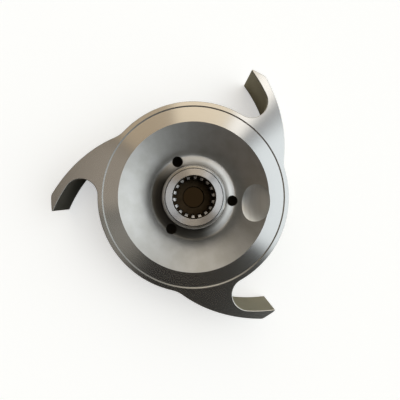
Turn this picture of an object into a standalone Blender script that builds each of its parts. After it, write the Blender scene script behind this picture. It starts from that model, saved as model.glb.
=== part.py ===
"""Semi-open water pump impeller: a steel casting with three scythe vanes, and its splined sleeve.

Units are metres and +Z is the back of the impeller, the side of the pump's motor. The origin is on
the shaft axis, in the plane of the hub's back face, where the impeller meets the shaft's shoulder.
"""
import math

import bmesh
import bpy
from mathutils import Vector

MM = 0.001

# Driving sizes
TIP_RADIUS = 86.4 * MM          # outside circle on which the vane tips are turned
RIM_RADIUS = 58.7 * MM          # edge of the round part of the back plate
BACK_PLANE = 3.0 * MM           # turned back face of the rim and the arms
VANE_HEIGHT = 30.0 * MM         # from the back face to the vanes' front edges
HUB_RADIUS = 20.0 * MM
SLEEVE_RADIUS = 18.0 * MM
TOUCHING_GAP = 0.3 * MM

# Vanes, as log spirals in the angle behind the tip
VANE_COUNT = 3
TIP_ANGLE = math.radians(66.7)
LAND_ANGLE = math.radians(7.4)  # width of the turned land at the tip
OUTER_GROWTH = 0.566
INNER_GROWTH = 0.55
VANE_THICKNESS = 3.6 * MM       # along a radius, where the vane runs on under the plate
VANE_WRAP = math.radians(116)
SETBACK = 0.1 * MM              # of the vanes' faces behind the edge of the arms
PLATE_THICKNESS = 5.5 * MM
POCKET_RADIUS = 10.0 * MM       # round end of the bay between an arm and the rim
ROOT_RADIUS = 18.0 * MM         # hollow curve where an arm runs out of the rim

# Back of the plate
STEP_RADIUS = 56.1 * MM         # turned step between the ring and the arms
STEP_DEPTH = 0.9 * MM
BOWL_RADIUS = 46.5 * MM
CONE_FOOT_RADIUS = 31.5 * MM    # where the bowl's straight cone ends
CONE_SLOPE = math.radians(37)
TROUGH_RADIUS = 28.0 * MM       # the deepest circle of the bowl
TROUGH_DEPTH = 11.0 * MM        # below the hub's back face
BALANCE_HOLE_RADIUS = 3.5 * MM
BALANCE_CIRCLE_RADIUS = 25.2 * MM
BALANCE_ANGLE = math.radians(-5.3)
SCOOP_HALF_SIZES = (14 * MM, 14 * MM, 6 * MM)   # down the slope, round the axis, into the wall
SCOOP_RADIUS = 39.5 * MM
SCOOP_DEPTH = 1.8 * MM

# Bore, nose and spline (25 mm reference diameter, module 1.25, 18 teeth)
NOSE_DEPTH = 25.0 * MM
NOSE_RADIUS = 22.0 * MM
SLEEVE_LENGTH = 20.0 * MM
SCREW_HOLE_RADIUS = 6.9 * MM
COUNTERBORE_RADIUS = 13.75 * MM
COUNTERBORE_DEPTH = 2.0 * MM
SPLINE_TEETH = 18
SPLINE_ROOT_RADIUS = 12.5 * MM
SPLINE_TIP_RADIUS = 11.25 * MM
SPLINE_ANGLE = math.radians(6.8)

# Fineness
TURNED_STEPS = 72
ARC_STEP = math.radians(4)


def clear_scene():
    for old in list(bpy.data.objects):
        bpy.data.objects.remove(old, do_unlink=True)


def make_collection(name):
    collection = bpy.data.collections.new(name)
    bpy.context.scene.collection.children.link(collection)
    return collection


def steel(name, colour, roughness):
    material = bpy.data.materials.new(name)
    material.use_nodes = True
    shader = material.node_tree.nodes["Principled BSDF"]
    shader.inputs["Base Color"].default_value = (*colour, 1.0)
    shader.inputs["Metallic"].default_value = 1.0
    shader.inputs["Roughness"].default_value = roughness
    return material


def hide_as_tool(tool):
    tool.hide_render = True
    tool.display_type = "WIRE"


def turned(name, profile, collection):
    """A solid turned from (radius, height) points that run down its outer side."""
    mesh = bpy.data.meshes.new(name)
    points = [(radius, 0.0, height) for radius, height in profile]
    mesh.from_pydata(points, [(i, i + 1) for i in range(len(points) - 1)], [])
    body = bpy.data.objects.new(name, mesh)
    collection.objects.link(body)
    screw = body.modifiers.new("turning", "SCREW")
    screw.axis = "Z"
    screw.angle = math.tau
    screw.steps = TURNED_STEPS
    screw.render_steps = TURNED_STEPS
    screw.use_merge_vertices = True
    screw.merge_threshold = 0.00001
    return body


def flat_plate(name, outline, bottom, top, collection):
    """A plate between two heights, made from a closed outline of (x, y) points."""
    curve = bpy.data.curves.new(name, "CURVE")
    curve.dimensions = "2D"
    curve.fill_mode = "BOTH"
    curve.extrude = (top - bottom) / 2
    spline = curve.splines.new("POLY")
    spline.points.add(len(outline) - 1)
    for point, (x, y) in zip(spline.points, outline):
        point.co = (x, y, 0.0, 1.0)
    spline.use_cyclic_u = True
    guide = bpy.data.objects.new(name + "_outline", curve)
    guide.location.z = (top + bottom) / 2
    collection.objects.link(guide)
    bpy.context.view_layer.update()
    evaluated = guide.evaluated_get(bpy.context.evaluated_depsgraph_get())
    mesh = bpy.data.meshes.new_from_object(evaluated)
    mesh.name = name
    plate = bpy.data.objects.new(name, mesh)
    plate.matrix_world = guide.matrix_world.copy()
    collection.objects.link(plate)
    bpy.data.objects.remove(guide)
    welded = bmesh.new()
    welded.from_mesh(mesh)
    bmesh.ops.remove_doubles(welded, verts=welded.verts, dist=0.000001)
    bmesh.ops.recalc_face_normals(welded, faces=welded.faces)
    welded.to_mesh(mesh)
    welded.free()
    return plate


def boolean(body, tool, operation):
    step = body.modifiers.new(operation.lower() + " " + tool.name, "BOOLEAN")
    step.operation = operation
    step.solver = "EXACT"
    step.object = tool


def bezier(start, start_handle, end_handle, end, count):
    """Points of a cubic curve, its start left out."""
    points = []
    for i in range(1, count + 1):
        t = i / count
        weights = ((1 - t) ** 3, 3 * t * (1 - t) ** 2, 3 * t * t * (1 - t), t ** 3)
        ends = (start, start_handle, end_handle, end)
        points.append(tuple(sum(w * p[k] for w, p in zip(weights, ends)) for k in (0, 1)))
    return points


def polar(radius, angle):
    return Vector((radius * math.cos(angle), radius * math.sin(angle)))


def inner_face(behind):
    """Radius of a vane's hollow face at an angle behind its tip."""
    return TIP_RADIUS * math.exp(-INNER_GROWTH * behind)


def outer_face(behind):
    """Radius of a vane's full face at an angle behind its tip."""
    return TIP_RADIUS * math.exp(-OUTER_GROWTH * (behind - LAND_ANGLE))


def nearest_on(face, centre):
    """The angle behind the tip at which a vane's face comes nearest to a point."""
    angles = [math.radians(a / 8) for a in range(0, 8 * 90)]
    return min(angles, key=lambda a: (polar(face(a), -a) - centre).length)


def rolled_circle(face, radius, start, end):
    """Where a circle that rolls on the rim meets a vane's face: its centre and the touching angle."""
    for _ in range(40):
        middle = (start + end) / 2
        centre = polar(RIM_RADIUS + radius, -middle)
        touch = nearest_on(face, centre)
        clear = (polar(face(touch), -touch) - centre).length > radius
        start, end = (middle, end) if clear else (start, middle)
    return centre, touch


def arc(centre, radius, start, end):
    """Points along an arc between two directions, the short way round."""
    sweep = (end - start + math.pi) % math.tau - math.pi
    count = max(2, math.ceil(abs(sweep) * radius / (RIM_RADIUS * ARC_STEP)) + 2)
    return [centre + polar(radius, start + sweep * i / count) for i in range(count + 1)]


def direction(vector):
    return math.atan2(vector.y, vector.x)


def spaced(start, end, step):
    count = max(1, round(abs(end - start) / step))
    return [start + (end - start) * i / count for i in range(count + 1)]


def arm_outline():
    """One third of the scalloped plate's edge, for a vane tip at angle 0, run against the angle."""
    pocket_centre, pocket_touch = rolled_circle(inner_face, POCKET_RADIUS, 0.0, math.radians(30))
    root_centre, root_touch = rolled_circle(
        outer_face, ROOT_RADIUS, math.radians(100), math.radians(40))
    points = arc(pocket_centre, POCKET_RADIUS, direction(-pocket_centre),
                 direction(polar(inner_face(pocket_touch), -pocket_touch) - pocket_centre))
    points += [polar(inner_face(a), -a) for a in spaced(pocket_touch, 0.0, ARC_STEP)[1:]]
    points += [polar(TIP_RADIUS, -a) for a in spaced(0.0, LAND_ANGLE, ARC_STEP)[1:]]
    points += [polar(outer_face(a), -a) for a in spaced(LAND_ANGLE, root_touch, ARC_STEP)[1:]]
    points += arc(root_centre, ROOT_RADIUS,
                  direction(polar(outer_face(root_touch), -root_touch) - root_centre),
                  direction(-root_centre))[1:]
    next_pocket = direction(pocket_centre) - math.tau / VANE_COUNT
    points += [polar(RIM_RADIUS, a)
               for a in spaced(direction(root_centre), next_pocket, ARC_STEP)[1:-1]]
    return points


def turned_by(points, angle):
    c = math.cos(angle)
    s = math.sin(angle)
    return [(p[0] * c - p[1] * s, p[0] * s + p[1] * c) for p in points]


def scalloped_outline():
    outline = []
    for k in range(VANE_COUNT):
        outline += turned_by(arm_outline(), TIP_ANGLE - k * math.tau / VANE_COUNT)
    return outline


def vane_outline(tip_angle):
    hollow = [polar(inner_face(a) + SETBACK, -a) for a in spaced(VANE_WRAP, 0.0, ARC_STEP)[:-1]]
    land = [polar(TIP_RADIUS - SETBACK, -a) for a in spaced(SETBACK / TIP_RADIUS, LAND_ANGLE, ARC_STEP)]
    full = [polar(max(outer_face(a), inner_face(a) + VANE_THICKNESS) - SETBACK, -a)
            for a in spaced(LAND_ANGLE, VANE_WRAP, ARC_STEP)[1:]]
    return turned_by(hollow + land + full, tip_angle)


def front_profile():
    """Half section of the plate's front and the nose, inside the flat plate at its outer end."""
    top = [(0.0, 0.0), (RIM_RADIUS - 3 * MM, 0.0)]
    start = (RIM_RADIUS - 1.7 * MM, -1.5 * MM)
    end = (NOSE_RADIUS + 2 * MM, -18 * MM)
    shell = [start] + bezier(start, (44 * MM, -4.5 * MM), (32 * MM, -16.5 * MM), end, 9)
    nose = [(NOSE_RADIUS + 0.4 * MM, -20.5 * MM), (NOSE_RADIUS, 1.5 * MM - NOSE_DEPTH),
            (NOSE_RADIUS - 1.5 * MM, -NOSE_DEPTH), (0.0, -NOSE_DEPTH)]
    return top + shell + nose


def cone_height(radius):
    """Height of the bowl's straight cone."""
    return BACK_PLANE - STEP_DEPTH - (BOWL_RADIUS - radius) * math.tan(CONE_SLOPE)


def back_profile():
    """Half section of all that is turned away or left open behind the plate, with the bore."""
    above = BACK_PLANE + 4 * MM
    ring_plane = BACK_PLANE - STEP_DEPTH
    step = [(0.0, above), (STEP_RADIUS, above), (STEP_RADIUS, BACK_PLANE),
            (STEP_RADIUS - STEP_DEPTH, ring_plane), (BOWL_RADIUS, ring_plane)]
    foot = (CONE_FOOT_RADIUS, cone_height(CONE_FOOT_RADIUS))
    bend = CONE_FOOT_RADIUS - 1.4 * MM
    trough = (TROUGH_RADIUS, -TROUGH_DEPTH)
    bowl = [foot] + bezier(foot, (bend, cone_height(bend)),
                           (TROUGH_RADIUS + 1.2 * MM, -TROUGH_DEPTH), trough, 4)
    flare = bezier(trough, (24.2 * MM, -TROUGH_DEPTH), (HUB_RADIUS + 0.4 * MM, -8.4 * MM),
                   (HUB_RADIUS, -3.5 * MM), 7)
    hub = [(HUB_RADIUS, -0.8 * MM), (HUB_RADIUS - 0.8 * MM, 0.0)]
    pocket = SLEEVE_RADIUS + TOUCHING_GAP
    floor = -SLEEVE_LENGTH - TOUCHING_GAP
    bore = [(pocket, 0.0), (pocket, floor), (SCREW_HOLE_RADIUS, floor),
            (SCREW_HOLE_RADIUS, -NOSE_DEPTH - 5 * MM), (0.0, -NOSE_DEPTH - 5 * MM)]
    return step + bowl + flare + hub + bore


def eye_profile():
    """The cone of the suction eye, which slopes the vanes' inner ends."""
    return [(0.0, -14 * MM), (25 * MM, -14 * MM), (36 * MM, BACK_PLANE - VANE_HEIGHT - 2 * MM),
            (0.0, BACK_PLANE - VANE_HEIGHT - 2 * MM)]


def make_balance_drill(number, tools):
    angle = BALANCE_ANGLE + number * math.tau / VANE_COUNT
    place = polar(BALANCE_CIRCLE_RADIUS, angle)
    bpy.ops.mesh.primitive_cylinder_add(
        vertices=24, radius=BALANCE_HOLE_RADIUS, depth=24 * MM, location=(*place, -16 * MM))
    drill = bpy.context.object
    drill.name = f"balance_drill_{number + 1}"
    move_to(drill, tools)
    return drill


def make_balance_scoop(tools):
    """The shallow pocket ground into the bowl when the impeller was balanced."""
    bpy.ops.mesh.primitive_uv_sphere_add(segments=32, ring_count=16, radius=1.0)
    scoop = bpy.context.object
    scoop.name = "balance_scoop"
    scoop.scale = SCOOP_HALF_SIZES
    scoop.rotation_euler = (0.0, -CONE_SLOPE, BALANCE_ANGLE)
    lift = SCOOP_HALF_SIZES[2] - SCOOP_DEPTH
    reach = SCOOP_RADIUS - lift * math.sin(CONE_SLOPE)
    height = cone_height(SCOOP_RADIUS) + lift * math.cos(CONE_SLOPE)
    scoop.location = (*polar(reach, BALANCE_ANGLE), height)
    bpy.ops.object.transform_apply(location=False, rotation=True, scale=True)
    move_to(scoop, tools)
    return scoop


def move_to(thing, collection):
    for old in list(thing.users_collection):
        old.objects.unlink(thing)
    collection.objects.link(thing)


def shade(body):
    """Smooth the turned faces once the modifiers have run, with the true edges left sharp."""
    evaluated = body.evaluated_get(bpy.context.evaluated_depsgraph_get())
    mesh = bpy.data.meshes.new_from_object(evaluated)
    body.modifiers.clear()
    body.data = mesh
    mesh.shade_smooth()
    mesh.set_sharp_from_angle(angle=math.radians(30))


def make_casting(parts, tools):
    casting = turned("impeller_casting", front_profile(), parts)
    plate = flat_plate("scalloped_plate", scalloped_outline(),
                       BACK_PLANE - PLATE_THICKNESS, BACK_PLANE, tools)
    boolean(casting, plate, "UNION")
    eye = turned("suction_eye", eye_profile(), tools)
    added = [plate, eye]
    for k in range(VANE_COUNT):
        vane = flat_plate(f"vane_{k + 1}", vane_outline(TIP_ANGLE + k * math.tau / VANE_COUNT),
                          BACK_PLANE - VANE_HEIGHT, 1 * MM, tools)
        boolean(vane, eye, "DIFFERENCE")
        boolean(casting, vane, "UNION")
        added.append(vane)
    cutters = [turned("back_turning", back_profile(), tools), make_balance_scoop(tools)]
    cutters += [make_balance_drill(k, tools) for k in range(VANE_COUNT)]
    for cutter in cutters:
        boolean(casting, cutter, "DIFFERENCE")
    for tool in added + cutters:
        hide_as_tool(tool)
    casting.data.materials.append(steel("cast_stainless", (0.60, 0.59, 0.57), 0.34))
    bpy.context.view_layer.update()
    shade(casting)
    return casting


def spline_outline():
    """The broach that cuts the 18 spaces between the sleeve's rounded teeth."""
    pitch = math.tau / SPLINE_TEETH
    outline = []
    for k in range(SPLINE_TEETH):
        tooth = SPLINE_ANGLE + k * pitch
        for share, radius in ((-0.14, SPLINE_TIP_RADIUS), (0.14, SPLINE_TIP_RADIUS),
                              (0.22, SPLINE_TIP_RADIUS + 0.35 * MM),
                              (0.30, SPLINE_ROOT_RADIUS - 0.1 * MM), (0.36, SPLINE_ROOT_RADIUS),
                              (0.64, SPLINE_ROOT_RADIUS), (0.70, SPLINE_ROOT_RADIUS - 0.1 * MM),
                              (0.78, SPLINE_TIP_RADIUS + 0.35 * MM)):
            outline.append(polar(radius, tooth + share * pitch))
    return outline


def sleeve_profile():
    bevel = 0.4 * MM
    return [(COUNTERBORE_RADIUS, 0.0), (SLEEVE_RADIUS, 0.0),
            (SLEEVE_RADIUS, bevel - SLEEVE_LENGTH), (SLEEVE_RADIUS - bevel, -SLEEVE_LENGTH),
            (8 * MM, -SLEEVE_LENGTH), (8 * MM, -COUNTERBORE_DEPTH),
            (COUNTERBORE_RADIUS, -COUNTERBORE_DEPTH), (COUNTERBORE_RADIUS, 0.0)]


def make_sleeve(parts, tools):
    sleeve = turned("spline_sleeve", sleeve_profile(), parts)
    broach = flat_plate("spline_broach", spline_outline(), -SLEEVE_LENGTH - 2 * MM, 2 * MM, tools)
    boolean(sleeve, broach, "DIFFERENCE")
    hide_as_tool(broach)
    sleeve.data.materials.append(steel("machined_stainless", (0.66, 0.65, 0.63), 0.28))
    bpy.context.view_layer.update()
    shade(sleeve)
    return sleeve


clear_scene()
impeller = make_collection("water_pump_impeller")
cutter_collection = make_collection("cutters")
make_casting(impeller, cutter_collection)
make_sleeve(impeller, cutter_collection)
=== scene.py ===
"""The looks of a semi-open water pump impeller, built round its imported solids. Metres, +Z is its back."""
import math

import bmesh
import bpy
from mathutils import Matrix, Vector
from mathutils.geometry import interpolate_bezier


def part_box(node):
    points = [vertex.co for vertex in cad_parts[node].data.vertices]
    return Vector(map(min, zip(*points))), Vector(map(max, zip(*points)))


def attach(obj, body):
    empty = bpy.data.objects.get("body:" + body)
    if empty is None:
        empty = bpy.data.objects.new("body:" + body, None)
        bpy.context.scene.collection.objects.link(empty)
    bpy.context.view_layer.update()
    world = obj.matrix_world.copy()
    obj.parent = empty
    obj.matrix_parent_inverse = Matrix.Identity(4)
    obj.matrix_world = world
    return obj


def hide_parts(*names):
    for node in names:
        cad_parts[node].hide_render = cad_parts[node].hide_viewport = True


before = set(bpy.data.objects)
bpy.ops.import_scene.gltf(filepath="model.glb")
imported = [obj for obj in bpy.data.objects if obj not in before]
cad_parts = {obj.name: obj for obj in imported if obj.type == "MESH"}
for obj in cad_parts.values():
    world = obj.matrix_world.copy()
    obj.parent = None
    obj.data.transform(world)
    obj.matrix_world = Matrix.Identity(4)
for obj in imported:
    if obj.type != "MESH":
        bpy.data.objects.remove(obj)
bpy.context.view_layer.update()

# The casting begins as a dish of stainless steel with a nose on its front. It is investment cast
# in one pour with everything that follows, up to the sleeve, and its skin is left as cast there.
# The corners of its half section are plain millimetres: distance from the axis, then height.
MM = 0.001
TOUCHING = 0.01 * MM
SEAM_WIDTH = 0.002 * MM
AXIS = Vector((0, 0, 0))
ROUND_STEPS = 216
CASTING_LOW, CASTING_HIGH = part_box("impeller_casting")
BACK = CASTING_HIGH[2]
FRONT_EDGES = CASTING_LOW[2]
PLATE_THICKNESS = 5.5 * MM
PLATE_UNDERSIDE = BACK - PLATE_THICKNESS
SHELL_START = (57, -1.5)
SHELL_END = (24, -18)
NOSE_RADIUS = 22
NOSE_END = -25
NOSE_EDGE = 1.2


def section_line(*corners):
    return [Vector((radius * MM, 0, height * MM)) for radius, height in corners]


def eased(count, *corners):
    """Points of a smooth curve, from its start, two handles and end, with its start left out."""
    return interpolate_bezier(*section_line(*corners), count + 1)[1:]


def turned_solid(section, closed=False):
    """A bmesh spun round the axis from the points of a half section."""
    shape = bmesh.new()
    corners = [shape.verts.new(point) for point in section]
    following = corners[1:] + corners[:1] if closed else corners[1:]
    for start, end in zip(corners, following):
        shape.edges.new((start, end))
    bmesh.ops.spin(shape, geom=shape.verts[:] + shape.edges[:], cent=AXIS, axis=(0, 0, 1),
                   angle=math.tau, steps=ROUND_STEPS, use_merge=True)
    return shape


# Every piece carries the same five finishes in this order.
CAST, TURNED, BLASTED, GROUND, OIL_AND_SHADE = range(5)


def finished(name, shape, finish=CAST):
    """Turn a bmesh into an object with closed seams, outward faces and one finish all over."""
    bmesh.ops.remove_doubles(shape, verts=shape.verts, dist=SEAM_WIDTH)
    bmesh.ops.recalc_face_normals(shape, faces=shape.faces)
    if shape.calc_volume(signed=True) < 0:
        bmesh.ops.reverse_faces(shape, faces=shape.faces)
    for face in shape.faces:
        face.material_index = finish
    mesh = bpy.data.meshes.new(name)
    for _ in range(OIL_AND_SHADE + 1):
        mesh.materials.append(None)
    shape.to_mesh(mesh)
    shape.free()
    piece = bpy.data.objects.new(name, mesh)
    bpy.context.scene.collection.objects.link(piece)
    return piece


shell = section_line(SHELL_START) + eased(28, SHELL_START, (44, -4.5), (32, -16.5), SHELL_END)
nose = eased(6, SHELL_END, (22.6, -18.8), (22.1, -20), (NOSE_RADIUS, -21.5))
nose += section_line((NOSE_RADIUS, NOSE_END + NOSE_EDGE), (NOSE_RADIUS - NOSE_EDGE, NOSE_END),
                     (0, NOSE_END))
dish = finished("impeller", turned_solid(section_line((0, 0.5), (55.7, 0.5)) + shell + nose))

# The scalloped back plate with its three scythe arms is part of the same casting. Its back is
# turned flat and its tips are turned to the outside circle, and then its edges are broken by hand.
# Angles run backwards from an arm's tip. Either face of an arm is a log spiral round the axis.
ARMS = 3
RIM_RADIUS = 58.7 * MM
TIP_RADIUS = 86.4 * MM
TIP_ANGLE = math.radians(66.7)
TIP_LAND = math.radians(7.4)
TURNED_SKIN = 0.3 * MM
HOLLOW_GROWTH = 0.55
FULL_GROWTH = 0.566
POCKET_RADIUS = 10 * MM
ROOT_RADIUS = 18 * MM
BEAK_RADIUS = 0.55 * MM
EDGE_BREAK = 0.35 * MM
CORNER_ROUND = 1.2 * MM
SPOTS_A_DEGREE = 40
HALVINGS = 24


def polar(radius, angle):
    return Vector((radius * math.cos(angle), radius * math.sin(angle), 0))


def heading(vector):
    return math.atan2(vector.y, vector.x)


def from_axis(polygon):
    return math.hypot(polygon.center.x, polygon.center.y)


def hollow_radius(behind):
    """How far out an arm's hollow face lies at an angle behind the tip."""
    return TIP_RADIUS * math.exp(-HOLLOW_GROWTH * behind)


def full_radius(behind):
    """How far out an arm's full face lies at an angle behind the tip."""
    return TIP_RADIUS * math.exp(-FULL_GROWTH * (behind - TIP_LAND))


def rolled_circle(face, radius, track, clear, blocked):
    """Roll a circle on a round track until it touches an arm's face: its centre and touching point.

    It starts between an angle where it is clear of the face and one where the face blocks it.
    """
    angles = [math.radians(step / SPOTS_A_DEGREE) for step in range(90 * SPOTS_A_DEGREE)]
    spots = [polar(face(angle), -angle) for angle in angles]
    for _ in range(HALVINGS):
        middle = (clear + blocked) / 2
        centre = polar(track, -middle)
        touch = min(spots, key=lambda spot: (spot - centre).length)
        if (touch - centre).length > radius:
            clear = middle
        else:
            blocked = middle
    return centre, touch


def short_turn(start, end, centre=AXIS):
    """The turn from one point to another round a centre, the short way."""
    return (heading(end - centre) - heading(start - centre) + math.pi) % math.tau - math.pi


def line_to(shape, start, place):
    """Draw a wire straight on from its last point."""
    end = bmesh.ops.extrude_vert_indiv(shape, verts=[start])["verts"][0]
    end.co = place
    return end


def sweep(shape, start, turn, growth=0.0, centre=AXIS, steps=24):
    """Draw a wire on from its last point along a log spiral, which is an arc where it doesn't grow."""
    turning = Matrix.Rotation(turn / steps, 3, "Z") * math.exp(growth * turn / steps)
    for _ in range(steps):
        start = line_to(shape, start, centre + turning @ (start.co - centre))
    return start


def arm_end(shape, at):
    """Draw on round an arm: out along its hollow face, round its tip and back along its full face."""
    at = sweep(shape, at, POCKET_END - BEAK_END, HOLLOW_GROWTH, steps=16)
    at = sweep(shape, at, BEAK_TURN, centre=beak_centre, steps=10)
    land_end = sweep(shape, at, -TIP_LAND - heading(beak_centre), steps=4)
    at = sweep(shape, land_end, TIP_LAND - ROOT_END, FULL_GROWTH)
    return at, land_end


def round_corners(shape, corners, size):
    bmesh.ops.bevel(shape, geom=corners, offset=size, offset_type="OFFSET", segments=6,
                    profile=0.5, affect="VERTICES", material=-1)


def break_edges(shape, height):
    """Break the edges that lie in one level plane."""
    level_edges = [edge for edge in shape.edges
                   if all(abs(vert.co.z - height) < TOUCHING for vert in edge.verts)]
    bmesh.ops.bevel(shape, geom=level_edges, offset=EDGE_BREAK, offset_type="OFFSET", segments=2,
                    profile=0.5, affect="EDGES", material=-1)


def repeated(shape, count):
    """Complete an outline round the axis from the one part of it that is drawn."""
    bmesh.ops.spin(shape, geom=shape.verts[:] + shape.edges[:], cent=AXIS, axis=(0, 0, 1),
                   angle=math.tau * (count - 1) / count, steps=count - 1, use_duplicate=True)
    bmesh.ops.remove_doubles(shape, verts=shape.verts, dist=TOUCHING)


def thickened(shape, low, high):
    """Fill a flat outline and pull it up into a solid between two heights."""
    bmesh.ops.translate(shape, verts=shape.verts, vec=(0, 0, low))
    bmesh.ops.contextual_create(shape, geom=shape.edges[:])
    raised = bmesh.ops.extrude_face_region(shape, geom=shape.faces[:])["geom"]
    top = [item for item in raised if isinstance(item, bmesh.types.BMVert)]
    bmesh.ops.translate(shape, verts=top, vec=(0, 0, high - low))


# The bay's round end, the arm's root and the beak at the tip are circles that touch the arm's faces.
pocket_centre, pocket_touch = rolled_circle(
    hollow_radius, POCKET_RADIUS, RIM_RADIUS + POCKET_RADIUS, 0, math.radians(30))
root_centre, root_touch = rolled_circle(
    full_radius, ROOT_RADIUS, RIM_RADIUS + ROOT_RADIUS, math.radians(100), math.radians(40))
beak_centre, beak_touch = rolled_circle(
    hollow_radius, BEAK_RADIUS, TIP_RADIUS - BEAK_RADIUS, math.radians(6), 0)
POCKET_END = -heading(pocket_touch)
ROOT_END = -heading(root_touch)
BEAK_END = -heading(beak_touch)
BEAK_TURN = short_turn(beak_touch, beak_centre * 2, beak_centre)

plate_shape = bmesh.new()
pocket_start = polar(RIM_RADIUS, heading(pocket_centre))
next_pocket = polar(RIM_RADIUS, heading(pocket_centre) - math.tau / ARMS)
at = plate_shape.verts.new(pocket_start)
at = sweep(plate_shape, at, short_turn(pocket_start, pocket_touch, pocket_centre), centre=pocket_centre)
at, land_end = arm_end(plate_shape, at)
at = sweep(plate_shape, at, short_turn(root_touch, root_centre * 0.5, root_centre), centre=root_centre)
at = sweep(plate_shape, at, short_turn(at.co, next_pocket), steps=36)
round_corners(plate_shape, [land_end], CORNER_ROUND)
bmesh.ops.rotate(plate_shape, verts=plate_shape.verts, cent=AXIS,
                 matrix=Matrix.Rotation(TIP_ANGLE, 3, "Z"))
repeated(plate_shape, ARMS)
thickened(plate_shape, PLATE_UNDERSIDE, BACK)
break_edges(plate_shape, BACK)
plate = finished("scalloped_plate", plate_shape)
for polygon in plate.data.polygons:
    on_back = polygon.center.z > BACK - EDGE_BREAK * 1.2
    if on_back or from_axis(polygon) > TIP_RADIUS - TURNED_SKIN:
        polygon.material_index = TURNED

# The three vanes are cast on the dish. Each fills its arm to the front edge, runs on inwards under
# the plate in a spiral and meets it in a cast fillet. Its front edge and its eye end are turned.
VANE_WRAP = math.radians(116)
THINNED_FROM = math.radians(45)
UNDER_PLATE_GROWTH = 0.504
VANE_TOP = -1 * MM
FILLET = 2.4 * MM
FILLET_RUN_IN = math.radians(10)
EYE_BOTTOM = -14
EYE_BOTTOM_RADIUS = 25
EYE_MOUTH = FRONT_EDGES / MM - 2
EYE_MOUTH_RADIUS = 36
# A vane's outline lies a hair further out than its arm's, so that none of their faces coincide.
CLEAR_OF_ARM = 1.0004
# Shares of the fillet's size: how far under the dish a row lies, and how far it has flared out.
FILLET_ROWS = ((1.0, 0.0), (0.66, 0.06), (0.36, 0.22), (0.14, 0.52), (-0.1, 1.0))


def dish_height(radius):
    """Height of the casting's front, under which the vanes run."""
    for inner, outer in zip(shell[1:], shell):
        if inner.x <= radius <= outer.x:
            share = (radius - inner.x) / (outer.x - inner.x)
            return min(inner.z + share * (outer.z - inner.z), PLATE_UNDERSIDE)
    return PLATE_UNDERSIDE if radius > shell[0].x else shell[-1].z


def raised_face(shape, face):
    """Draw a vane's walls on from its last face: the new last face."""
    raised = bmesh.ops.extrude_face_region(shape, geom=[face] + face.edges[:])["geom"]
    return next(item for item in raised if isinstance(item, bmesh.types.BMFace))


vane_shape = bmesh.new()
first = vane_shape.verts.new(polar(hollow_radius(VANE_WRAP) * CLEAR_OF_ARM, -VANE_WRAP))
at = sweep(vane_shape, first, VANE_WRAP - POCKET_END, HOLLOW_GROWTH, steps=40)
at, land_end = arm_end(vane_shape, at)
at = sweep(vane_shape, at, ROOT_END - THINNED_FROM, FULL_GROWTH, steps=4)
at = sweep(vane_shape, at, THINNED_FROM - VANE_WRAP, UNDER_PLATE_GROWTH, steps=36)
round_corners(vane_shape, [land_end], CORNER_ROUND)
vane_shape.edges.new((at, first))
bmesh.ops.translate(vane_shape, verts=vane_shape.verts, vec=(0, 0, FRONT_EDGES))
row = bmesh.ops.contextual_create(vane_shape, geom=vane_shape.edges[:])["faces"][0]
last_flare = 0.0
for depth, flare in FILLET_ROWS:
    row = raised_face(vane_shape, row)
    for vert in row.verts:
        behind = -heading(vert.co)
        radius = vert.co.xy.length
        hollow = radius < math.sqrt(hollow_radius(behind) * full_radius(behind))
        free_until = POCKET_END if hollow else ROOT_END
        run_in = min(max((behind - free_until) / FILLET_RUN_IN, 0), 1)
        grown = run_in * run_in * (flare - last_flare) * FILLET
        vert.co.xy = vert.co.xy * ((radius + (-grown if hollow else grown)) / radius)
        vert.co.z = dish_height(vert.co.xy.length) - depth * FILLET
    last_flare = flare
row = raised_face(vane_shape, row)
for vert in row.verts:
    vert.co.z = VANE_TOP
break_edges(vane_shape, FRONT_EDGES)
vane = finished("vane", vane_shape)
for polygon in vane.data.polygons:
    on_front_edge = polygon.center.z < FRONT_EDGES + TOUCHING
    if on_front_edge or from_axis(polygon) > TIP_RADIUS - TURNED_SKIN:
        polygon.material_index = TURNED
eye_section = section_line((0, EYE_BOTTOM), (EYE_BOTTOM_RADIUS, EYE_BOTTOM),
                           (EYE_MOUTH_RADIUS, EYE_MOUTH), (0, EYE_MOUTH))
eye = finished("suction_eye", turned_solid(eye_section), TURNED)


def worked(body, tools, operation):
    """Join tools to a body, or cut them out of it, and clear the tools away."""
    kit = bpy.data.collections.new(operation)
    for tool in tools:
        kit.objects.link(tool)
    step = body.modifiers.new(operation, "BOOLEAN")
    step.operand_type = "COLLECTION"
    step.collection = kit
    step.operation = operation
    step.solver = "MANIFOLD"
    bpy.context.view_layer.update()
    done = bpy.data.meshes.new_from_object(body.evaluated_get(bpy.context.evaluated_depsgraph_get()))
    body.modifiers.clear()
    body.data = done
    for tool in tools:
        bpy.data.objects.remove(tool)
    bpy.data.collections.remove(kit)
    return body


worked(vane, [eye], "DIFFERENCE")
vanes = []
for number in range(ARMS):
    placed = vane.copy()
    placed.data = vane.data.copy()
    placed.data.transform(Matrix.Rotation(TIP_ANGLE + number * math.tau / ARMS, 4, "Z"))
    bpy.context.scene.collection.objects.link(placed)
    vanes.append(placed)
bpy.data.objects.remove(vane)

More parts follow.
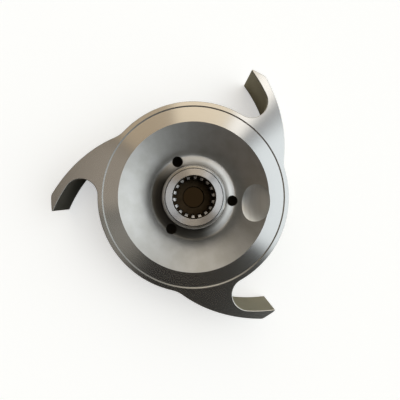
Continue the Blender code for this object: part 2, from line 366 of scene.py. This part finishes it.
# The back of the casting is turned in a lathe: a step inside the rim, a flat ring and the hub. The
# bowl between the ring and the hub keeps its cast form and is blasted. The hub is bored for a sleeve.
# These sizes are plain millimetres too.
STEP_RADIUS = 56.1
STEP_DEPTH = 0.9
STEP_WIDTH = 0.65
BOWL_RADIUS = 46.5
CONE_SLOPE = math.radians(34.5)
CONE_FOOT = 31.2
FOOT_REACH = 2
TROUGH_RADIUS = 26.8
TROUGH_DEPTH = -10.8
FLARE_TOP = -3.5
HUB_RADIUS = 20
HUB_CHAMFER = 0.8
SEAT_RADIUS = 18.3
SEAT_DEPTH = -20.3
SCREW_HOLE_RADIUS = 6.9
SCREW_HOLE_EDGE = 0.5
PAST_NOSE = NOSE_END - 5
CLEARANCE = 4
back = BACK / MM
ring = back - STEP_DEPTH


def cone_height(radius):
    return ring - (BOWL_RADIUS - radius) * math.tan(CONE_SLOPE)


# Two smooth curves lead from the cone's foot down into the trough and up the flare of the hub.
foot = (CONE_FOOT, cone_height(CONE_FOOT))
bend = (CONE_FOOT - FOOT_REACH, cone_height(CONE_FOOT - FOOT_REACH))
trough = (TROUGH_RADIUS, TROUGH_DEPTH)
lathe_section = section_line(
    (0, back + CLEARANCE), (STEP_RADIUS + CLEARANCE, back + CLEARANCE), (STEP_RADIUS, back),
    (STEP_RADIUS - STEP_WIDTH, ring), (BOWL_RADIUS, ring), foot)
lathe_section += eased(12, foot, bend, (TROUGH_RADIUS + 1.2, TROUGH_DEPTH), trough)
lathe_section += eased(18, trough, (24, TROUGH_DEPTH), (HUB_RADIUS + 0.1, -10.1), (HUB_RADIUS, FLARE_TOP))
lathe_section += section_line(
    (HUB_RADIUS, -HUB_CHAMFER), (HUB_RADIUS - HUB_CHAMFER, 0), (SEAT_RADIUS, 0), (SEAT_RADIUS, SEAT_DEPTH),
    (SCREW_HOLE_RADIUS + SCREW_HOLE_EDGE, SEAT_DEPTH), (SCREW_HOLE_RADIUS, SEAT_DEPTH - SCREW_HOLE_EDGE),
    (SCREW_HOLE_RADIUS, PAST_NOSE), (0, PAST_NOSE))
lathe_cut = finished("lathe_cut", turned_solid(lathe_section), TURNED)
for polygon in lathe_cut.data.polygons:
    radius = from_axis(polygon) / MM
    height = polygon.center.z / MM
    if HUB_RADIUS - 0.1 < radius < BOWL_RADIUS - 0.01 and height < ring - 0.01:
        polygon.material_index = BLASTED
    # Faces deep in the bore get the dark brown finish: old oil and painted shade in the bore.
    if radius < SEAT_RADIUS + 0.1 and height < -1:
        polygon.material_index = OIL_AND_SHADE

# Three balance holes are drilled through the trough, and a shallow pocket is ground into the right
# of the bowl with a drum of small radius, until the impeller runs true.
BALANCE_ANGLE = math.radians(-5.3)
HOLES = 3
HOLE_RADIUS = 3.5 * MM
HOLE_CIRCLE = 25.2 * MM
DRILL_LENGTH = 24 * MM
DRILL_MIDDLE = -16 * MM
SCOOP_SIZES = (14 * MM, 14 * MM, 6 * MM)
SCOOP_RADIUS = 39.5
SCOOP_DEPTH = 1.8 * MM
drills = []
for number in range(HOLES):
    place = polar(HOLE_CIRCLE, BALANCE_ANGLE + number * math.tau / HOLES)
    place.z = DRILL_MIDDLE
    drill = bmesh.new()
    bmesh.ops.create_cone(drill, cap_ends=True, segments=48, radius1=HOLE_RADIUS, radius2=HOLE_RADIUS,
                          depth=DRILL_LENGTH, matrix=Matrix.Translation(place))
    drills.append(finished(f"drill_{number + 1}", drill, TURNED))

# The drum's middle stands off the cone, square to its slope, so that it cuts to its depth there.
lift = SCOOP_SIZES[2] - SCOOP_DEPTH
drum_radius = SCOOP_RADIUS * MM - lift * math.sin(CONE_SLOPE)
drum_height = cone_height(SCOOP_RADIUS) * MM + lift * math.cos(CONE_SLOPE)
drum = bmesh.new()
bmesh.ops.create_uvsphere(
    drum, u_segments=72, v_segments=36, radius=1,
    matrix=Matrix.Rotation(BALANCE_ANGLE, 4, "Z") @ Matrix.Translation((drum_radius, 0, drum_height))
    @ Matrix.Rotation(-CONE_SLOPE, 4, "Y") @ Matrix.Diagonal((*SCOOP_SIZES, 1)))
scoop = finished("balance_scoop", drum, GROUND)

worked(dish, [plate] + vanes, "UNION")
impeller = worked(dish, [lathe_cut, scoop] + drills, "DIFFERENCE")

# The casting is stainless steel all through. Its skin is as cast, its back is turned, its bowl is
# blasted and painted darker round the hub as painted shade, its pocket is ground, and its bore is dark brown
# with old oil and painted shade.
TURNING_PITCH = 0.5 * MM
# The side of the trough, away from the light, where the hub's shadow is painted.
HUB_SHADOW_SIDE = math.radians(-142)


class Value:
    """A number that varies over a surface: arithmetic on it adds Math nodes."""

    def __init__(self, nodes, socket):
        self.nodes = nodes
        self.socket = socket

    def math(self, operation, *others):
        node = self.nodes.add("ShaderNodeMath", {"operation": operation})
        for slot, value in enumerate((self,) + others):
            self.nodes.feed(node.inputs[slot], value)
        return Value(self.nodes, node.outputs[0])

    def __add__(self, other):
        return self.math("ADD", other)

    def __mul__(self, other):
        return self.math("MULTIPLY", other)

    def __sub__(self, other):
        return self.math("SUBTRACT", other)

    def __rsub__(self, other):
        return (self * -1) + other

    __radd__ = __add__
    __rmul__ = __mul__


class Nodes:
    """A node tree to which nodes are added by type, settings and sockets."""

    def __init__(self, tree):
        self.tree = tree

    def feed(self, socket, value):
        if isinstance(value, Value):
            self.tree.links.new(value.socket, socket)
        elif isinstance(value, bpy.types.NodeSocket):
            self.tree.links.new(value, socket)
        elif socket.type == "RGBA":
            socket.default_value = (*value, 1)
        else:
            socket.default_value = value

    def add(self, kind, settings=None, sockets=None):
        node = self.tree.nodes.new(kind)
        for name, value in (settings or {}).items():
            setattr(node, name, value)
        for name, value in (sockets or {}).items():
            self.feed(node.inputs[name], value)
        return node

    def tint(self, factor, first, second):
        """Two colours mixed by a factor, through the Mix node's colour sockets."""
        return self.add("ShaderNodeMix", {"data_type": "RGBA"}, {0: factor, 6: first, 7: second}).outputs[2]

    def vector(self, operation, sockets, result=0):
        """The result of a Vector Math node."""
        return self.add("ShaderNodeVectorMath", {"operation": operation}, sockets).outputs[result]

    def number(self, operation, sockets):
        """The number that a Vector Math node gives, such as a length."""
        return Value(self, self.vector(operation, sockets, "Value"))

    def fade(self, value, dark, bright):
        """A smooth rise from 0 to 1 between two values."""
        made = self.add("ShaderNodeMapRange", {"interpolation_type": "SMOOTHSTEP"},
                        {"Value": value, "From Min": dark, "From Max": bright})
        return Value(self, made.outputs["Result"])


class Metal(Nodes):
    """A metal finish: a Principled shader with the object's own coordinates and distance from the axis."""

    def __init__(self, name, roughness, anisotropy=0.0):
        self.material = bpy.data.materials.new(name)
        self.material.use_nodes = True
        super().__init__(self.material.node_tree)
        self.shader = self.tree.nodes["Principled BSDF"]
        self.set("Metallic", 1.0)
        self.set("Roughness", roughness)
        self.set("Anisotropic", anisotropy)
        self.set("Anisotropic Rotation", 0.25)
        self.place = self.add("ShaderNodeTexCoord").outputs["Object"]
        self.level = self.vector("MULTIPLY", {0: self.place, 1: (1, 1, 0)})
        self.radius = self.number("LENGTH", {0: self.level})

    def set(self, name, value):
        self.feed(self.shader.inputs[name], value)

    def towards(self, azimuth):
        """How far a spot lies towards one side, from -1 to 1, as seen from the axis."""
        outwards = self.vector("NORMALIZE", {0: self.level})
        return self.number("DOT_PRODUCT", {0: outwards, 1: polar(1, azimuth)})

    def noise(self, scale, detail, stretch=(1, 1, 1)):
        """Noise in the metal, from 0 to 1, with a scale in patches a metre."""
        where = self.add("ShaderNodeMapping", {}, {"Vector": self.place, "Scale": stretch})
        made = self.add("ShaderNodeTexNoise", {},
                        {"Vector": where.outputs[0], "Scale": scale, "Detail": detail})
        return Value(self, made.outputs["Fac"])

    def rings(self, pitch):
        """Noise that goes round the axis in rings, as a turning tool leaves it."""
        made = self.add("ShaderNodeTexNoise", {"noise_dimensions": "1D"},
                        {"W": self.radius, "Scale": 1 / pitch, "Detail": 2.0})
        return Value(self, made.outputs["Fac"])

    def bump(self, height, distance):
        made = self.add("ShaderNodeBump", {}, {"Height": height, "Distance": distance, "Strength": 1.0})
        self.set("Normal", made.outputs[0])


cast_skin = Metal("cast_skin", 0.55)
grain = cast_skin.noise(900, 3)
blotches = cast_skin.noise(60, 3)
cast_skin.set("Base Color", cast_skin.tint(blotches, (0.32, 0.31, 0.26), (0.46, 0.44, 0.38)))
cast_skin.set("Roughness", 0.48 + 0.16 * grain)
cast_skin.bump(grain, 0.06 * MM)

# Turning marks run round the axis, so light is smeared across them from the hub to the rim.
turned_steel = Metal("turned_steel", 0.2, 0.9)
lines = turned_steel.rings(TURNING_PITCH)
turned_steel.set("Base Color", turned_steel.tint(lines, (0.54, 0.53, 0.51), (0.62, 0.61, 0.59)))
turned_steel.set("Roughness", 0.14 + 0.03 * lines)

# Painted shade darkens the trough on the side away from the light, where the hub's shadow falls, and all
# round the foot of the hub's wall.
blasted_steel = Metal("blasted_steel", 0.4)
haze = blasted_steel.noise(120, 5)
grit = blasted_steel.noise(1400, 2)
# Painted shade: the trough is darkened on the side where the hub's shadow falls.
shaded_side = blasted_steel.fade(blasted_steel.towards(HUB_SHADOW_SIDE) + 0.4 * haze, -0.05, 0.7)
in_trough = blasted_steel.fade(blasted_steel.radius, 30.2 * MM, 27 * MM)
# Painted shade: a dark ring is painted in the crease at the foot of the hub's wall.
on_hub_wall = blasted_steel.fade(blasted_steel.radius, 21.2 * MM, 20.5 * MM)
painted_shade = (in_trough * shaded_side).math("MAXIMUM", on_hub_wall)
clean = blasted_steel.tint(blasted_steel.fade(haze, 0.3, 0.7), (0.50, 0.49, 0.47), (0.56, 0.55, 0.54))
# The painted shade darkens the blasted steel towards a near-black brown.
blasted_steel.set("Base Color", blasted_steel.tint(0.9 * painted_shade, clean, (0.04, 0.035, 0.025)))
blasted_steel.set("Roughness", 0.36 + 0.04 * haze + 0.04 * grit)
blasted_steel.bump(haze + 0.3 * grit, 0.12 * MM)

# The drum leaves bright streaks, drawn out along Y, which is the way round the bowl there.
ground_steel = Metal("ground_steel", 0.35, 0.8)
streaks = ground_steel.noise(700, 3, (1, 0.12, 0.12))
ground_steel.set("Base Color", ground_steel.tint(streaks, (0.72, 0.73, 0.73), (0.88, 0.89, 0.89)))
ground_steel.set("Roughness", 0.27 + 0.12 * streaks)

# Dark brown, partly old oil and partly painted shade in the bore.
oil_and_shade_steel = Metal("oil_and_shade_steel", 0.5)
film = oil_and_shade_steel.noise(300, 3)
oil_and_shade_steel.set("Base Color", oil_and_shade_steel.tint(film, (0.035, 0.023, 0.012), (0.085, 0.062, 0.038)))

for slot, finish in enumerate((cast_skin, turned_steel, blasted_steel, ground_steel, oil_and_shade_steel)):
    impeller.data.materials[slot] = finish.material


def shade(piece):
    """Smooth the round faces, keep the true edges sharp and centre the turning marks on the axis."""
    piece.data.shade_smooth()
    piece.data.set_sharp_from_angle(angle=math.radians(20))
    piece.data.use_auto_texspace = False
    piece.data.texspace_location = AXIS
    piece.data.texspace_size = (TIP_RADIUS, TIP_RADIUS, TIP_RADIUS)


shade(impeller)
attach(impeller, "root")
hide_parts("impeller_casting")

# The sleeve is turned from stainless bar, broached with 18 teeth for the pump shaft and pressed
# into the hub, where its edge shows as a thin dark ring. The teeth have chamfered, rounded ends.
SLEEVE_LOW, SLEEVE_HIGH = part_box("spline_sleeve")
SLEEVE_RADIUS = SLEEVE_HIGH[0] / MM
SLEEVE_END = SLEEVE_LOW[2] / MM
SLEEVE_EDGE = 0.4
COUNTERBORE_RADIUS = 13.85
TEETH = 18
TOOTH_TIP = 11.25
TOOTH_ROOT = 12.95
TOOTH_ROUND = 0.28 * MM
TOOTH_ANGLE = math.radians(6.8)
TOOTH_SHARE = 0.43
TOOTH_NARROWING = 0.84
TOOTH_END_FOOT = -3.6
TOOTH_END_TOP = -2.05
PAST_SLEEVE = 2
sleeve = finished("spline_sleeve_turned", turned_solid(section_line(
    (COUNTERBORE_RADIUS, 0), (SLEEVE_RADIUS - 0.2, 0), (SLEEVE_RADIUS, -0.2),
    (SLEEVE_RADIUS, SLEEVE_END + SLEEVE_EDGE), (SLEEVE_RADIUS - SLEEVE_EDGE, SLEEVE_END),
    (TOOTH_TIP + SLEEVE_EDGE, SLEEVE_END), (TOOTH_TIP, SLEEVE_END + SLEEVE_EDGE),
    (TOOTH_TIP, -3.9), (TOOTH_TIP + 0.12, -3.5), (TOOTH_TIP + 0.4, -3.1), (TOOTH_ROOT, -2.1),
    (13.2, -1.9), (COUNTERBORE_RADIUS - 0.2, -0.2)), closed=True))

broach_shape = bmesh.new()
pitch = math.tau / TEETH
half_foot = pitch * TOOTH_SHARE / 2
half_tip = half_foot * TOOTH_NARROWING
inside = (TOOTH_TIP - 0.6) * MM
root = TOOTH_ROOT * MM
at = broach_shape.verts.new(polar(inside, TOOTH_ANGLE))
at = sweep(broach_shape, at, half_tip, steps=3)
near_corner = line_to(broach_shape, at, polar(root, TOOTH_ANGLE + half_foot))
far_corner = sweep(broach_shape, near_corner, pitch - 2 * half_foot, steps=6)
at = line_to(broach_shape, far_corner, polar(inside, TOOTH_ANGLE + pitch - half_tip))
sweep(broach_shape, at, half_tip, steps=3)
round_corners(broach_shape, [near_corner, far_corner], TOOTH_ROUND)
repeated(broach_shape, TEETH)
thickened(broach_shape, (SLEEVE_END - PAST_SLEEVE) * MM, PAST_SLEEVE * MM)
worked(sleeve, [finished("broach", broach_shape)], "DIFFERENCE")

sleeve_steel = Metal("sleeve_steel", 0.24, 1.0)
lines = sleeve_steel.rings(0.35 * MM)
sleeve_steel.set("Base Color", sleeve_steel.tint(lines, (0.56, 0.54, 0.53), (0.70, 0.68, 0.67)))
sleeve_steel.set("Roughness", 0.2 + 0.08 * lines)
for slot in range(OIL_AND_SHADE):
    sleeve.data.materials[slot] = sleeve_steel.material
sleeve.data.materials[OIL_AND_SHADE] = oil_and_shade_steel.material
# The sleeve's bore, apart from its teeth's ends, gets the same dark brown: old oil and painted shade.
for polygon in sleeve.data.polygons:
    height = polygon.center.z / MM
    in_bore = from_axis(polygon) < (COUNTERBORE_RADIUS + 0.05) * MM and height < -0.15
    tooth_end = polygon.normal.z > 0.5 and TOOTH_END_FOOT < height < TOOTH_END_TOP
    polygon.material_index = OIL_AND_SHADE if in_bore and not tooth_end else TURNED
shade(sleeve)
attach(sleeve, "root")
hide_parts("spline_sleeve")

# The impeller lies on its vanes, back upwards, on a plain pale floor with a painted shadow under its hub.
# The floor glows a little, so that it stays pale, and the metal mirrors it with painted shade at the left
# and painted light at the right.
FLOOR_REACH = 1.2
FLOOR_GAP = 0.05 * MM
floor_shape = bmesh.new()
bmesh.ops.create_grid(floor_shape, x_segments=1, y_segments=1, size=FLOOR_REACH,
                      matrix=Matrix.Translation((0, 0, FRONT_EDGES - FLOOR_GAP)))
floor = bpy.data.objects.new("floor", bpy.data.meshes.new("floor"))
floor_shape.to_mesh(floor.data)
floor_shape.free()
bpy.context.scene.collection.objects.link(floor)
pale = bpy.data.materials.new("pale_floor")
pale.use_nodes = True
ground = Nodes(pale.node_tree)


def diffuse(colour):
    return ground.add("ShaderNodeBsdfDiffuse", {}, {"Color": colour}).outputs[0]


def emission(colour):
    return ground.add("ShaderNodeEmission", {}, {"Color": colour}).outputs[0]


def blended(factor, first, second):
    return ground.add("ShaderNodeMixShader", {}, {0: factor, 1: first, 2: second}).outputs[0]


# Distances run from the hub's back face, which lies 27 mm over the floor.
spot = ground.add("ShaderNodeTexCoord").outputs["Object"]
away = ground.number("LENGTH", {0: spot})
across = Value(ground, ground.add("ShaderNodeSeparateXYZ", {}, {0: spot}).outputs["X"])
# Painted shadow: a dark disc under the hub, mirrored by the metal and seen through the holes.
painted_shadow_under_hub = ground.fade(away, 48 * MM, 42 * MM)
bore_shade_spot = ground.fade(away, 28.3 * MM, 27.9 * MM)
to_camera = Value(ground, ground.add("ShaderNodeLightPath").outputs["Is Camera Ray"])
from_below = ground.add("ShaderNodeNewGeometry").outputs["Backfacing"]
# Everything but the camera sees this floor: painted shade at the left and painted warm light at the right.
shade_painted_floor = blended(ground.fade(across, -50 * MM, 20 * MM),
                   diffuse((0.06, 0.055, 0.05)), diffuse((0.95, 0.9, 0.76)))
shade_painted_floor = blended(painted_shadow_under_hub, shade_painted_floor, diffuse((0.05, 0.04, 0.03)))
lit = ground.add("ShaderNodeAddShader", {},
                 {0: diffuse((0.86, 0.86, 0.86)), 1: emission((0.48, 0.48, 0.48))}).outputs[0]
shown = blended(to_camera * (1 - painted_shadow_under_hub), shade_painted_floor, lit)
# Painted shade: the camera sees a dark brown glow on the floor through the screw hole.
shown = blended(to_camera * bore_shade_spot, shown, emission((0.021, 0.0125, 0.0055)))
clear = ground.add("ShaderNodeBsdfTransparent").outputs[0]
ground.feed(ground.tree.nodes["Material Output"].inputs["Surface"], blended(from_below, shown, clear))
floor.data.materials.append(pale)

# The studio's light is soft: lamps stand round the impeller, and wedges of pale ceiling meet overhead.
# Cool light comes from the right and warm light from the far side. The camera sees a plain backdrop.
# Heights are sines of the elevation, each pair from where a light is out to where it is full.
PANEL_FADE = 0.1
OVERHEAD_GAP = (0.9995, 0.992)
LAMPS_TOP = (0.94, 0.83)
world = bpy.data.worlds.new("studio")
bpy.context.scene.world = world
world.use_nodes = True
sky = Nodes(world.node_tree)
direction = sky.add("ShaderNodeTexCoord").outputs["Generated"]
height = Value(sky, sky.add("ShaderNodeSeparateXYZ", {}, {0: direction}).outputs["Z"])


def scaled(colour, strength):
    return sky.vector("SCALE", {0: colour, "Scale": strength})


def ceiling_panel(azimuth, half_width, edge, colour, end=0.82):
    """A wedge of the pale ceiling, with its point overhead and a soft edge on either side."""
    turned = sky.add("ShaderNodeVectorRotate", {"rotation_type": "Z_AXIS"},
                     {"Vector": direction, "Angle": -math.radians(azimuth)})
    sides = sky.add("ShaderNodeSeparateXYZ", {}, {0: turned.outputs[0]})
    swing = Value(sky, sides.outputs["Y"]).math("ARCTAN2", Value(sky, sides.outputs["X"])).math("ABSOLUTE")
    within = sky.fade(swing, math.radians(half_width + edge), math.radians(half_width - edge))
    return scaled(colour, within * sky.fade(height, end, end + PANEL_FADE) * sky.fade(height, *OVERHEAD_GAP))


def soft_box(azimuth, elevation, sharpness, colour):
    """A lamp at one side, strongest in its middle."""
    aim = polar(math.cos(math.radians(elevation)), math.radians(azimuth))
    aim.z = math.sin(math.radians(elevation))
    facing = sky.number("DOT_PRODUCT", {0: direction, 1: aim})
    strength = ((facing - 1) * sharpness).math("EXPONENT")
    return scaled(colour, strength * sky.fade(height, *LAMPS_TOP))


# Angles are degrees from +X. A lamp has an elevation and a sharpness, a panel its half width and edge.
lights = [
    soft_box(1, 28, 3.6, (1.08, 1.16, 1.18)),
    soft_box(22, 56, 8.0, (0.95, 0.97, 0.96)),
    soft_box(95, 28, 6.0, (0.34, 0.31, 0.26)),
    soft_box(100, 52, 16.0, (0.32, 0.3, 0.27)),
    soft_box(-30, 52, 16.0, (0.13, 0.13, 0.12)),
    soft_box(100, 6, 8.0, (0.7, 0.65, 0.55)),
    soft_box(178, 6, 8.0, (0.24, 0.2, 0.15)),
    soft_box(-130, 25, 4.0, (0.1, 0.085, 0.07)),
    ceiling_panel(3, 36, 6, (1.25, 1.35, 1.42)),
    ceiling_panel(54, 6, 3, (1.85, 1.8, 1.72)),
    ceiling_panel(44, 5, 2, (0.2, 0.21, 0.23)),
    ceiling_panel(80, 19, 3, (1.3, 1.11, 0.84)),
    ceiling_panel(119, 19, 4, (0.7, 0.56, 0.39), 0.85),
    ceiling_panel(164, 24, 8, (0.52, 0.45, 0.37), 0.885),
    ceiling_panel(-150, 20, 15, (0.36, 0.34, 0.3), 0.885),
]
# A faint glow comes from all round.
light = (0.016, 0.015, 0.013)
for added in lights:
    light = sky.vector("ADD", {0: light, 1: added})
seen = sky.add("ShaderNodeLightPath").outputs["Is Camera Ray"]
sky.feed(sky.tree.nodes["Background"].inputs["Color"], sky.tint(seen, light, (0.9, 0.9, 0.9)))

# The camera hangs over the impeller, a little to the left of its axis, and looks almost straight
# down. It stands so near that the vanes' walls show in the bays between the arms and the rim.
CAMERA_HEIGHT = 213.27 * MM
camera_data = bpy.data.cameras.new("camera")
camera_data.lens = 31.37
camera_data.sensor_width = 36.0
camera_data.clip_start = 0.01
camera = bpy.data.objects.new("camera", camera_data)
camera.location = (-5.17 * MM, -0.37 * MM, BACK + CAMERA_HEIGHT)
camera.rotation_euler = (math.radians(-0.367), math.radians(-2.324), 0)
bpy.context.scene.collection.objects.link(camera)
bpy.context.scene.camera = camera
bpy.context.scene.view_settings.view_transform = "Standard"
